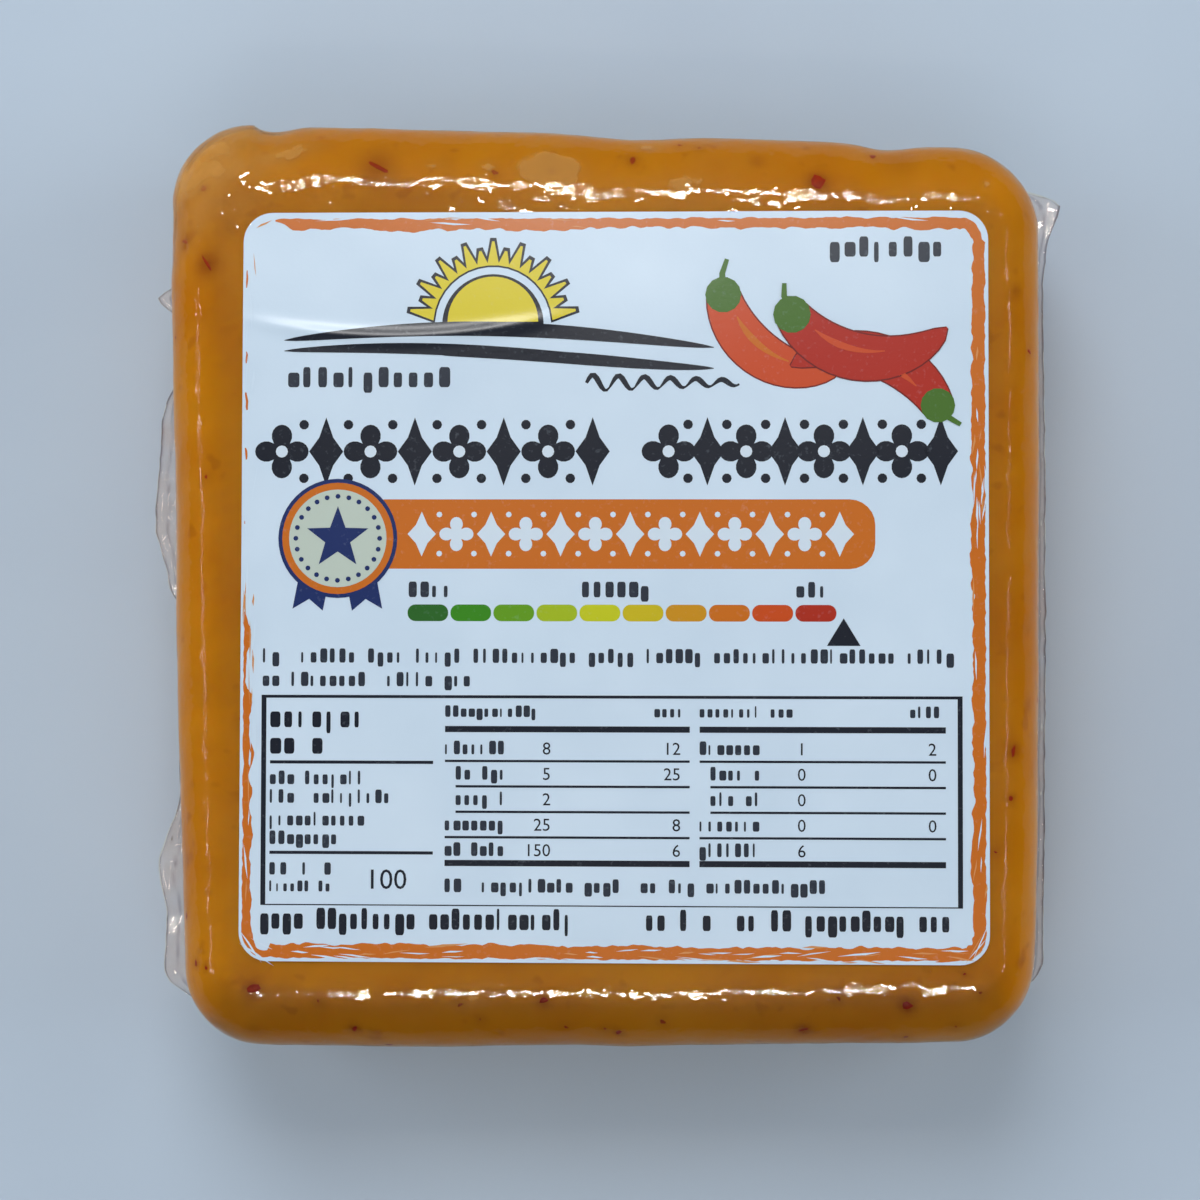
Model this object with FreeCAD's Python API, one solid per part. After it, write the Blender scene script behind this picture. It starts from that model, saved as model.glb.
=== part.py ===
import FreeCAD, Part
import math
import os

# A nearly square block of cheese sealed in clear film, with a square label stuck on top.
# Millimetres. The origin is the middle of the face that the block rests on, +Z is up,
# +Y points to the label's top edge and +X to its right.

# Block, in its tight film
block_width = 89.6  # along X, measured half way along the block
block_length = 94.8  # along Y, measured half way across the block
block_height = 25.4  # resting face to top face
side_bow = 0.3  # how far each side swells out in plan, half way along it
side_crown = 0.4  # how far the sides swell out at half height

# Each side's turn from square, in degrees, so that the block is a little out of true
side_turn = {"right": -0.5, "back": -2.0, "left": 1.5, "front": 0.6}

# Radius in plan of the corner after each side, going round anticlockwise
corner_radius = {"right": 9.6, "back": 8.6, "left": 8.3, "front": 8.8}

# Rounding from the flat top and base to the sides: inwards at each side, and down or up
top_round_in = {"right": 4.6, "back": 7.4, "left": 6.2, "front": 7.4}
top_round_down = 6.6
base_round_in = {"right": 4.2, "back": 4.2, "left": 4.2, "front": 4.2}
base_round_up = 5.6

# Shallow dents in the back edge: place from left (-1) to right (1), half width, depth
back_dents = [(-0.78, 2.4, 0.7), (0.06, 5.0, 0.45), (0.64, 3.0, 0.6)]

# Fins of film along the left and right sides, two layers sealed together
fin_thickness = 0.3
fin_root = 5.0  # how far a fin runs into the block, so that the two are one solid
fin_step = 2.0  # spacing of a fin's crinkles along Y
fin_crinkle = 0.35  # how far the crinkles lift and drop its edge
left_fin_level = 12.6
right_fin_level = 11.6
fin_sag = 0.25  # drop of a fin's edge for each millimetre that it stands out

# Each fin's reach past the side, at places from the back end (1) to the front end (-1)
left_fin_reach = [
    (0.71, 0.2),
    (0.66, 2.9),
    (0.60, 0.3),
    (0.51, 0.6),
    (0.38, 2.6),
    (0.15, 3.7),
    (0.02, 2.4),
    (-0.04, 1.2),
    (-0.45, 1.4),
    (-0.62, 4.0),
    (-0.73, 3.1),
    (-0.85, 3.5),
    (-0.93, 1.6),
]
right_fin_reach = [
    (0.915, -0.9),
    (0.880, 3.1),
    (0.76, 1.6),
    (0.69, 1.3),
    (0.20, 1.7),
    (-0.24, 1.8),
    (-0.88, 1.7),
]

# Label
label_width = 76.2
label_length = 76.6
label_thickness = 0.15
label_corner = 3.0
label_right = 1.0  # its middle lies this far to the right of the block's middle
label_forward = 0.1  # and this far towards the front

# Fineness of the block's surface
corner_steps = 6
side_steps = 20
round_steps = 4

SIDES = ["right", "back", "left", "front"]


def side_angle(side):
    """Direction that a side faces, in degrees anticlockwise from +X."""
    return 90.0 * SIDES.index(side) + side_turn[side]


def facing(angle):
    return math.cos(math.radians(angle)), math.sin(math.radians(angle))


def side_distance(side):
    """Distance from the origin to the line of a side, before its bow."""
    across = block_width if side in ("right", "left") else block_length
    return across / 2 * math.cos(math.radians(side_turn[side]))


def corner_centre(side):
    """Centre of the corner arc between a side and the next one."""
    following = SIDES[(SIDES.index(side) + 1) % 4]
    ax, ay = facing(side_angle(side))
    bx, by = facing(side_angle(following))
    a = side_distance(side) - corner_radius[side]
    b = side_distance(following) - corner_radius[side]
    det = ax * by - ay * bx
    return (a * by - b * ay) / det, (b * ax - a * bx) / det


def dent_depth(side, x):
    """How far the back edge's dents pull it in at x."""
    if side != "back":
        return 0.0
    depths = 0.0
    for place, half, depth in back_dents:
        depths += depth * math.exp(-(((x - place * block_width / 2) / half) ** 2))
    return depths


def outline(level, inset, share=1.0):
    """Points of the closed plan outline at one level, moved in by a share of each side's inset."""
    points = []
    for i, side in enumerate(SIDES):
        following = SIDES[(i + 1) % 4]
        cx, cy = corner_centre(side)
        first = side_angle(side)
        sweep = 90.0 + side_turn[following] - side_turn[side]
        for k in range(corner_steps + 1):
            t = k / corner_steps
            eased = (1 - math.cos(math.pi * t)) / 2
            moved = inset[side] + (inset[following] - inset[side]) * eased
            radius = corner_radius[side] - share * moved
            nx, ny = facing(first + sweep * t)
            points.append(FreeCAD.Vector(cx + radius * nx, cy + radius * ny, level))
        start = points[-1]
        nx, ny = facing(side_angle(following))
        ex, ey = corner_centre(following)
        reach = corner_radius[following] - share * inset[following]
        end = FreeCAD.Vector(ex + reach * nx, ey + reach * ny, level)
        for k in range(1, side_steps):
            t = k / side_steps
            at = start + (end - start) * t
            out = side_bow * math.sin(math.pi * t) - dent_depth(following, at.x)
            points.append(at + FreeCAD.Vector(nx * out, ny * out, 0))
    return points


def section(level, inset, share=1.0):
    """Closed smooth wire through one level's outline, with the same knots at every level."""
    points = outline(level, inset, share)
    plain = outline(0.0, top_round_in, 0.0)
    knots = [0.0]
    for a, b in zip(plain, plain[1:] + plain[:1]):
        knots.append(knots[-1] + (b - a).Length)
    curve = Part.BSplineCurve()
    curve.interpolate(Points=points, PeriodicFlag=True, Parameters=knots)
    return Part.Wire([curve.toShape()])


def block():
    """Block with rounded edges, lofted through its level outlines from base to top."""
    angles = [math.pi / 2 * k / round_steps for k in range(round_steps + 1)]
    wires = []
    for angle in angles:
        level = base_round_up * (1 - math.cos(angle))
        wires.append(section(level, base_round_in, 1 - math.sin(angle)))
    middle = (base_round_up + block_height - top_round_down) / 2
    crown = dict.fromkeys(SIDES, -side_crown)
    wires.append(section(middle, crown))
    for angle in angles:
        level = block_height - top_round_down * (1 - math.sin(angle))
        wires.append(section(level, top_round_in, 1 - math.cos(angle)))
    return Part.makeLoft(wires, True, False)


def side_x(side, y):
    """Where a left or right side's plain line lies at y."""
    turned = math.tan(math.radians(side_turn[side])) * y
    return block_width / 2 - turned if side == "right" else -block_width / 2 - turned


def reach_at(reaches, place):
    """A fin's reach at a place along the side, eased between its stated places."""
    for (p0, r0), (p1, r1) in zip(reaches, reaches[1:]):
        if p1 <= place <= p0:
            t = (p0 - place) / (p0 - p1)
            return r0 + (r1 - r0) * (1 - math.cos(math.pi * t)) / 2
    return reaches[-1][1]


def fin(side, level, reaches):
    """Thin crinkled fin, lofted through upright sections from back to front."""
    outwards = 1 if side == "right" else -1
    back, front = reaches[0][0], reaches[-1][0]
    count = math.ceil((back - front) * block_length / 2 / fin_step)
    wires = []
    for k in range(count + 1):
        place = back + (front - back) * k / count
        y = place * block_length / 2
        reach = reach_at(reaches, place)
        root = outwards * (abs(side_x(side, y)) - fin_root)
        tip = outwards * (abs(side_x(side, y)) + reach)
        lift = fin_crinkle * (1 if k % 2 else -1) * max(reach, 0) / 3
        drop = level - fin_sag * max(reach, 0) + lift
        corners = [
            FreeCAD.Vector(root, y, level),
            FreeCAD.Vector(tip, y, drop),
            FreeCAD.Vector(tip, y, drop + fin_thickness),
            FreeCAD.Vector(root, y, level + fin_thickness),
        ]
        wires.append(Part.makePolygon(corners + corners[:1]))
    return Part.makeLoft(wires, True, True)


def film_pack():
    """Block and both fins in one solid, as the film is one closed bag."""
    left = fin("left", left_fin_level, left_fin_reach)
    right = fin("right", right_fin_level, right_fin_reach)
    return block().fuse([left, right])


def label():
    corner = FreeCAD.Vector(
        label_right - label_width / 2, -label_forward - label_length / 2, block_height
    )
    plate = Part.makeBox(label_width, label_length, label_thickness, corner)
    upright = [e for e in plate.Edges if abs(e.tangentAt(e.FirstParameter).z) > 0.9]
    return plate.makeFillet(label_corner, upright)


os.makedirs("parts", exist_ok=True)
for node, shape in {"film_pack": film_pack(), "label": label()}.items():
    solids = shape.Solids
    print(node, "solids", len(solids), "valid", shape.isValid(), "volume", round(shape.Volume, 1))
    solids[0].exportStep("parts/" + node + ".step")
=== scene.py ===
import math
import random

import bmesh
import bpy
import numpy as np
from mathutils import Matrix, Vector, noise
from mathutils.bvhtree import BVHTree


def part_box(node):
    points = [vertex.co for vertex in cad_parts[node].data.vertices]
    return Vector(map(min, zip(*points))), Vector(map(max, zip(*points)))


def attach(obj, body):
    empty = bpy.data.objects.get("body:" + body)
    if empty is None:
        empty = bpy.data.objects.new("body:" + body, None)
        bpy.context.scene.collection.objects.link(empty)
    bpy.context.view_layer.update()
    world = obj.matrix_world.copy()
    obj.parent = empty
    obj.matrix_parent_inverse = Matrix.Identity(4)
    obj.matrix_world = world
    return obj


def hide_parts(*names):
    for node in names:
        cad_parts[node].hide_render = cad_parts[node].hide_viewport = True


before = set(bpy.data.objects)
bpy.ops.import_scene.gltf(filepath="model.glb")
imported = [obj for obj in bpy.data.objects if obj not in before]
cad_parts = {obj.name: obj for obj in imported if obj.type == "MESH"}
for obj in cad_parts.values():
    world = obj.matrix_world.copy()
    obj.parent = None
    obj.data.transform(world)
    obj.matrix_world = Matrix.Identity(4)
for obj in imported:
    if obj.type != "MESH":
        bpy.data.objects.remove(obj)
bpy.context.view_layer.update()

# A block of pepper cheddar sealed in clear film, with a square label on top. Sizes below are in
# millimetres in the row frame, and MM turns them into metres when a mesh is made.
MM = 0.001
pack_low, pack_high = (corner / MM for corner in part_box("film_pack"))
label_low, label_high = (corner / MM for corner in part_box("label"))

# ------------------------------------------------------------------ form of the block

TOP = pack_high.z
BASE = pack_low.z
BLOCK_WIDTH = 89.6
BLOCK_LENGTH = 94.8
SIDES = ["right", "back", "left", "front"]
SIDE_TURN = {"right": -0.5, "back": -2.0, "left": 1.5, "front": 0.6}
CORNER_RADIUS = {"right": 9.6, "back": 8.6, "left": 8.3, "front": 8.8}
SIDE_BOW = 0.3
SIDE_CROWN = 0.4
TOP_ROUND_IN = {"right": 4.6, "back": 7.4, "left": 6.2, "front": 7.4}
TOP_ROUND_DOWN = 6.6
BASE_ROUND_IN = dict.fromkeys(SIDES, 4.2)
BASE_ROUND_UP = 5.6
BACK_DENTS = [(-0.78, 2.4, 0.7), (0.06, 5.0, 0.45), (0.64, 3.0, 0.6)]

CORNER_COLUMNS = 24
SIDE_COLUMNS = 116
SHELL_INSET = 0.06  # the film's plain surface lies this far inside the CAD surface

LABEL_WIDTH = label_high.x - label_low.x
LABEL_LENGTH = label_high.y - label_low.y
LABEL_X = (label_high.x + label_low.x) / 2
LABEL_Y = (label_high.y + label_low.y) / 2
LABEL_CORNER = 3.0


def facing(degrees):
    return np.array([math.cos(math.radians(degrees)), math.sin(math.radians(degrees))])


def side_angle(side):
    return 90.0 * SIDES.index(side) + SIDE_TURN[side]


def corner_centre(side):
    """Centre of the corner arc between a side and the next one."""
    following = SIDES[(SIDES.index(side) + 1) % 4]
    lines = np.array([facing(side_angle(s)) for s in (side, following)])
    reach = []
    for s in (side, following):
        across = BLOCK_WIDTH if s in ("right", "left") else BLOCK_LENGTH
        reach.append(across / 2 * math.cos(math.radians(SIDE_TURN[s])) - CORNER_RADIUS[side])
    return np.linalg.solve(lines, np.array(reach))


def plan_columns():
    """For each column round the block: arc centre, outward direction, radius and top and base insets."""
    centres, outs, radii, top_in, base_in = [], [], [], [], []
    for i, side in enumerate(SIDES):
        following = SIDES[(i + 1) % 4]
        here, there = corner_centre(side), corner_centre(following)
        sweep = 90.0 + SIDE_TURN[following] - SIDE_TURN[side]
        for k in range(CORNER_COLUMNS):
            t = k / CORNER_COLUMNS
            eased = (1 - math.cos(math.pi * t)) / 2
            centres.append(here)
            outs.append(facing(side_angle(side) + sweep * t))
            radii.append(CORNER_RADIUS[side])
            top_in.append(TOP_ROUND_IN[side] + (TOP_ROUND_IN[following] - TOP_ROUND_IN[side]) * eased)
            base_in.append(BASE_ROUND_IN[side])
        for k in range(SIDE_COLUMNS):
            t = k / SIDE_COLUMNS
            out = facing(side_angle(following))
            radius = CORNER_RADIUS[side] + (CORNER_RADIUS[following] - CORNER_RADIUS[side]) * t
            bow = SIDE_BOW * math.sin(math.pi * t)
            at = here + (there - here) * t
            if following == "back":
                for place, half, depth in BACK_DENTS:
                    bow -= depth * math.exp(-(((at[0] - place * BLOCK_WIDTH / 2) / half) ** 2))
            centres.append(at)
            outs.append(out)
            radii.append(radius + bow)
            top_in.append(TOP_ROUND_IN[following])
            base_in.append(BASE_ROUND_IN[following])
    return [np.array(values, float) for values in (centres, outs, radii, top_in, base_in)]


def smooth_columns(values, reach=5):
    """Runs a short average round the block, so that insets and dents change without a kink."""
    return sum(np.roll(values, k) for k in range(-reach, reach + 1)) / (2 * reach + 1)


CENTRES, OUTS, RADII, TOP_IN, BASE_IN = plan_columns()
TOP_IN, BASE_IN = smooth_columns(TOP_IN), smooth_columns(BASE_IN)
COLUMNS = len(RADII)
FLAT_SHARES = [0.06, 0.3, 0.55, 0.75, 0.85, 0.88, 0.9, 0.92, 0.94, 0.96, 0.98]
ROUND_RINGS = 14
WALL_RINGS = 18


def ring(shift_in, level, shrink=1.0):
    """One ring of points (columns, 3)."""
    plan = CENTRES + OUTS * (RADII - SHELL_INSET - shift_in)[:, None]
    middle = plan.mean(axis=0)
    plan = middle + (plan - middle) * shrink
    return np.column_stack([plan, np.full(COLUMNS, level)])


def block_rings():
    """Rings of points and of outward normals, from the middle of the top to the middle of the base."""
    points, normals = [], []
    up = np.tile([0.0, 0.0, 1.0], (COLUMNS, 1))
    outwards = np.column_stack([OUTS, np.zeros(COLUMNS)])
    top, base = TOP - SHELL_INSET, BASE + SHELL_INSET
    for share in FLAT_SHARES:
        points.append(ring(TOP_IN, top, share))
        normals.append(up)
    for k in range(ROUND_RINGS):
        a = math.pi / 2 * k / ROUND_RINGS
        points.append(ring(TOP_IN * (1 - math.sin(a)), top - TOP_ROUND_DOWN * (1 - math.cos(a))))
        lean = outwards * (TOP_ROUND_DOWN * math.sin(a)) + up * (TOP_IN * math.cos(a))[:, None]
        normals.append(lean / np.linalg.norm(lean, axis=1)[:, None])
    wall_top, wall_base = top - TOP_ROUND_DOWN, base + BASE_ROUND_UP
    for k in range(WALL_RINGS):
        t = k / WALL_RINGS
        points.append(ring(-SIDE_CROWN * math.sin(math.pi * t), wall_top + (wall_base - wall_top) * t))
        normals.append(outwards)
    for k in range(ROUND_RINGS + 1):
        a = math.pi / 2 * (1 - k / ROUND_RINGS)
        points.append(ring(BASE_IN * (1 - math.sin(a)), base + BASE_ROUND_UP * (1 - math.cos(a))))
        lean = outwards * (BASE_ROUND_UP * math.sin(a)) - up * (BASE_IN * math.cos(a))[:, None]
        normals.append(lean / np.linalg.norm(lean, axis=1)[:, None])
    for share in reversed(FLAT_SHARES):
        points.append(ring(BASE_IN, base, share))
        normals.append(-up)
    return np.array(points), np.array(normals)


RINGS, NORMALS = block_rings()


def waves(points, size, seed):
    """Smooth noise from -1 to 1 at each point, with lumps about size millimetres across."""
    flat = points.reshape(-1, 3)
    shift = Vector((seed * 17.3, seed * 5.1, seed * 9.7))
    values = [noise.noise(Vector(p) / size + shift) for p in flat.tolist()]
    return np.array(values).reshape(points.shape[:-1])


def spots(points, places):
    """Sum of soft spots at (x, y, half width, half length, degrees, strength), on what faces upwards."""
    total = np.zeros(points.shape[:-1])
    for x, y, half_w, half_l, degrees, strength in places:
        c, s = facing(degrees)
        dx, dy = points[..., 0] - x, points[..., 1] - y
        along, across = dx * c + dy * s, dy * c - dx * s
        shape = np.exp(-((along / half_w) ** 2) - (across / half_l) ** 2)
        total += strength * shape * (points[..., 2] > TOP / 2)
    return total


# ------------------------------------------------------------------ making meshes

def put_in_scene(name, data):
    """An object that holds data, in the scene at the origin."""
    held = bpy.data.objects.new(name, data)
    bpy.context.scene.collection.objects.link(held)
    return held


def new_piece(name, vertices, faces, material, smooth=True):
    """A mesh piece from vertices in millimetres."""
    mesh = bpy.data.meshes.new(name)
    mesh.from_pydata([tuple(v) for v in np.asarray(vertices) * MM], [], faces)
    mesh.update()
    mesh.materials.append(material)
    if smooth:
        mesh.shade_smooth()
    return put_in_scene(name, mesh)


def drawn_piece(name, bm, material):
    """A piece from a bmesh that is already in metres."""
    mesh = bpy.data.meshes.new(name)
    bm.to_mesh(mesh)
    bm.free()
    mesh.materials.append(material)
    return put_in_scene(name, mesh)


def shell_faces(rings, columns, first=0):
    """Quads between neighbouring rings of a closed shell, and a fan at each end."""
    faces = []
    for r in range(rings - 1):
        for c in range(columns):
            d = (c + 1) % columns
            a, b = first + r * columns, first + (r + 1) * columns
            faces.append((a + c, b + c, b + d, a + d))
    top, base = first + rings * columns, first + rings * columns + 1
    last = first + (rings - 1) * columns
    for c in range(columns):
        d = (c + 1) % columns
        faces.append((top, first + c, first + d))
        faces.append((base, last + d, last + c))
    return faces


def shell_vertices(points):
    """Vertices for shell_faces: every ring, then the middles of the top and the base."""
    ends = [points[0].mean(axis=0), points[-1].mean(axis=0)]
    return np.concatenate([points.reshape(-1, 3), ends])


def add_values(piece, name, values):
    """Stores one number for each vertex as an attribute that the material reads."""
    layer = piece.data.attributes.new(name, "FLOAT", "POINT")
    layer.data.foreach_set("value", np.asarray(values, np.float32))


# ------------------------------------------------------------------ node trees

class Graph:
    """A node tree, with short calls that add nodes and link them."""

    def __init__(self, tree):
        self.tree = tree
        self.tree.nodes.clear()

    def set(self, socket, value):
        if isinstance(value, bpy.types.NodeSocket):
            self.tree.links.new(value, socket)
        else:
            socket.default_value = value

    def add(self, kind, inputs=(), **settings):
        node = self.tree.nodes.new(kind)
        for key, value in settings.items():
            setattr(node, key, value)
        for key, value in dict(inputs).items():
            self.set(node.inputs[key], value)
        return node

    def maths(self, operation, a, b=0.0, c=0.0):
        return self.add("ShaderNodeMath", {0: a, 1: b, 2: c}, operation=operation).outputs["Value"]

    def times(self, a, b):
        return self.maths("MULTIPLY", a, b)

    def plus(self, a, b):
        return self.maths("ADD", a, b)

    def vector(self, x=0.0, y=0.0, z=0.0):
        return self.add("ShaderNodeCombineXYZ", {"X": x, "Y": y, "Z": z}).outputs["Vector"]

    def ramp(self, value, low, high, top=1.0):
        """Rises from 0 where value is low to top where it is high, and stays there."""
        limits = {"Value": value, "From Min": low, "From Max": high, "To Max": top}
        return self.add("ShaderNodeMapRange", limits, clamp=True).outputs["Result"]


def node_group(name, kind, inputs, outputs):
    """A group with named inputs, each a socket kind and a value, and named outputs."""
    tree = bpy.data.node_groups.new(name, kind)
    for label, (socket, value) in inputs.items():
        made = tree.interface.new_socket(label, in_out="INPUT", socket_type="NodeSocket" + socket)
        if value is not None:
            made.default_value = value
    for label, socket in outputs.items():
        tree.interface.new_socket(label, in_out="OUTPUT", socket_type="NodeSocket" + socket)
    graph = Graph(tree)
    graph.given = graph.add("NodeGroupInput").outputs
    graph.result = graph.add("NodeGroupOutput").inputs
    return graph


def lumps(g, detail, roughness):
    """Noise from 0 to 1 at a group's Place, with lumps about its Size across."""
    settings = {
        "Vector": g.given["Place"],
        "Scale": g.maths("DIVIDE", 1.0, g.given["Size"]),
        "Detail": detail,
        "Roughness": roughness,
    }
    return g.add("ShaderNodeTexNoise", settings).outputs["Fac"]


def mottle_group():
    """Soft patches about Size millimetres across: 0 below Low of the noise and 1 above High."""
    inputs = {
        "Place": ("Vector", None),
        "Size": ("Float", 1.0),
        "Detail": ("Float", 2.0),
        "Low": ("Float", 0.3),
        "High": ("Float", 0.7),
    }
    g = node_group("mottle", "ShaderNodeTree", inputs, {"Mask": "Float"})
    noise_here = lumps(g, g.given["Detail"], 0.5)
    g.set(g.result["Mask"], g.ramp(noise_here, g.given["Low"], g.given["High"]))
    return g.tree


def grain_group():
    """Height, in millimetres, of a fine grain that is Depth deep and Size across."""
    inputs = {"Place": ("Vector", None), "Size": ("Float", 1.0), "Depth": ("Float", 0.1)}
    g = node_group("grain", "ShaderNodeTree", inputs, {"Height": "Float"})
    g.set(g.result["Height"], g.times(lumps(g, 2.5, 0.55), g.given["Depth"]))
    return g.tree


# The long shallow crease that crosses the label's upper left: an arc, in millimetres in the row frame
CREASE_CENTRE = (-21.5, 93.0)
CREASE_RADIUS = 67.6
CREASE_HALF_WIDTH = 0.75
CREASE_LEFT, CREASE_RIGHT = -38.0, -3.0


def crease_group():
    """Height, in millimetres, of the crease that runs through the label and its print."""
    inputs = {"Place": ("Vector", None), "Depth": ("Float", 0.1)}
    g = node_group("label_crease", "ShaderNodeTree", inputs, {"Height": "Float"})
    parts = g.add("ShaderNodeSeparateXYZ", {"Vector": g.given["Place"]}).outputs
    dx = g.maths("SUBTRACT", parts["X"], CREASE_CENTRE[0])
    dy = g.maths("SUBTRACT", parts["Y"], CREASE_CENTRE[1])
    squares = g.plus(g.times(dx, dx), g.times(dy, dy))
    away = g.maths("SUBTRACT", g.maths("SQRT", squares), CREASE_RADIUS)
    share = g.maths("DIVIDE", away, CREASE_HALF_WIDTH)
    ridge = g.maths("EXPONENT", g.times(g.times(share, share), -1.0))
    middle = (CREASE_LEFT + CREASE_RIGHT) / 2
    off_middle = g.maths("ABSOLUTE", g.maths("SUBTRACT", parts["X"], middle))
    fade = g.ramp(off_middle, (CREASE_RIGHT - CREASE_LEFT) / 2, (CREASE_RIGHT - CREASE_LEFT) / 4)
    g.set(g.result["Height"], g.times(g.times(ridge, fade), g.given["Depth"]))
    return g.tree


MOTTLE, GRAIN, CREASE = mottle_group(), grain_group(), crease_group()


class Finish(Graph):
    """A material's node tree, with calls for the shared groups."""

    def __init__(self, name):
        self.material = bpy.data.materials.new(name)
        self.material.use_nodes = True
        super().__init__(self.material.node_tree)
        self.output = self.add("ShaderNodeOutputMaterial")
        coordinates = self.add("ShaderNodeTexCoord").outputs["Object"]
        scaled = self.add("ShaderNodeVectorMath", {0: coordinates, "Scale": 1 / MM}, operation="SCALE")
        self.place = scaled.outputs["Vector"]  # object coordinates in millimetres

    def group(self, tree, inputs):
        return self.add("ShaderNodeGroup", {"Place": self.place, **inputs}, node_tree=tree).outputs[0]

    def mottle(self, size, low, high, detail=2.0, amount=1.0):
        mask = self.group(MOTTLE, {"Size": size, "Low": low, "High": high, "Detail": detail})
        return self.times(mask, amount) if amount != 1.0 else mask

    def grain(self, size, depth):
        return self.group(GRAIN, {"Size": size, "Depth": depth})

    def crease(self, depth):
        return self.group(CREASE, {"Depth": depth})

    def relief(self, *heights):
        """The normal that a sum of heights in millimetres gives."""
        total = heights[0]
        for height in heights[1:]:
            total = self.plus(total, height)
        settings = {"Height": total, "Strength": 1.0, "Distance": MM}
        return self.add("ShaderNodeBump", settings).outputs["Normal"]

    def value(self, name):
        return self.add("ShaderNodeAttribute", attribute_name=name).outputs["Fac"]

    def mix(self, factor, a, b):
        """Mixes two colours."""
        node = self.add("ShaderNodeMix", {0: factor, 6: a, 7: b}, data_type="RGBA")
        return node.outputs[2]

    def principled(self, inputs):
        shader = self.add("ShaderNodeBsdfPrincipled", inputs)
        return self.finish(shader.outputs["BSDF"])

    def finish(self, shader):
        self.set(self.output.inputs["Surface"], shader)
        return self.material


class Maker(Graph):
    """A Geometry Nodes tree that makes copies of a shape, run once and turned into a plain mesh."""

    def __init__(self, name, inputs):
        given = {"Geometry": ("Geometry", None), "Shape": ("Object", None), "Finish": ("Material", None)}
        made = node_group(name, "GeometryNodeTree", {**given, **inputs}, {"Geometry": "Geometry"})
        self.tree, self.given, self.result = made.tree, made.given, made.result

    def random(self, low, high, step=0):
        """A random number for each copy, from the tree's Seed moved on by step."""
        seed = self.plus(self.given["Seed"], step) if step else self.given["Seed"]
        settings = {2: low, 3: high, "Seed": seed}
        return self.add("FunctionNodeRandomValue", settings, data_type="FLOAT").outputs[1]

    def copies(self, points, rotation=(0, 0, 0), scale=(1, 1, 1)):
        """Sets a copy of the shape on each point."""
        shape = self.add("GeometryNodeObjectInfo", {"Object": self.given["Shape"]}).outputs["Geometry"]
        settings = {"Points": points, "Instance": shape, "Rotation": rotation, "Scale": scale}
        return self.add("GeometryNodeInstanceOnPoints", settings).outputs["Instances"]

    def end(self, instances):
        """Joins the copies into one mesh and gives it the finish."""
        real = self.add("GeometryNodeRealizeInstances", {"Geometry": instances}).outputs["Geometry"]
        settings = {"Geometry": real, "Material": self.given["Finish"]}
        self.set(self.result["Geometry"], self.add("GeometryNodeSetMaterial", settings).outputs["Geometry"])

    def run(self, start, **values):
        """The plain mesh that the tree makes from a start object."""
        modifier = start.modifiers.new("copies", "NODES")
        modifier.node_group = self.tree
        for item in self.tree.interface.items_tree:
            if item.in_out == "INPUT" and item.name in values:
                modifier[item.identifier] = values[item.name]
        evaluated = start.evaluated_get(bpy.context.evaluated_depsgraph_get())
        mesh = bpy.data.meshes.new_from_object(evaluated)
        start.modifiers.remove(modifier)
        return mesh


# ------------------------------------------------------------------ materials of cheese and film

def srgb(r, g, b):
    """A colour given in 0 to 255 display values, as the shader's linear colour."""
    values = []
    for v in (r, g, b):
        v /= 255
        values.append(v / 12.92 if v <= 0.04045 else ((v + 0.055) / 1.055) ** 2.4)
    return (*values, 1.0)


AMBER = srgb(213, 146, 3)
AMBER_DEEP = srgb(199, 125, 1)
AMBER_PALE = srgb(214, 150, 36)
STAIN = srgb(136, 44, 6)


def cheese_material():
    n = Finish("amber_cheddar")
    colour = n.mix(n.mottle(17.0, 0.3, 0.7, 2.0), AMBER_DEEP, AMBER)
    colour = n.mix(n.mottle(6.0, 0.42, 0.72, 2.0, amount=0.35), colour, AMBER_PALE)
    colour = n.mix(n.mottle(2.2, 0.66, 0.76, 1.0, amount=0.22), colour, STAIN)
    colour = n.mix(n.value("stain"), colour, STAIN)
    return n.principled(
        {
            "Base Color": colour,
            "Roughness": 0.45,
            "IOR": 1.4,
            "Specular IOR Level": 0.06,
            "Subsurface Weight": 0.3,
            "Subsurface Radius": (1.0, 0.5, 0.15),
            "Subsurface Scale": 1.3 * MM,
            "Normal": n.relief(n.grain(1.8, 0.05)),
        }
    )


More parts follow.
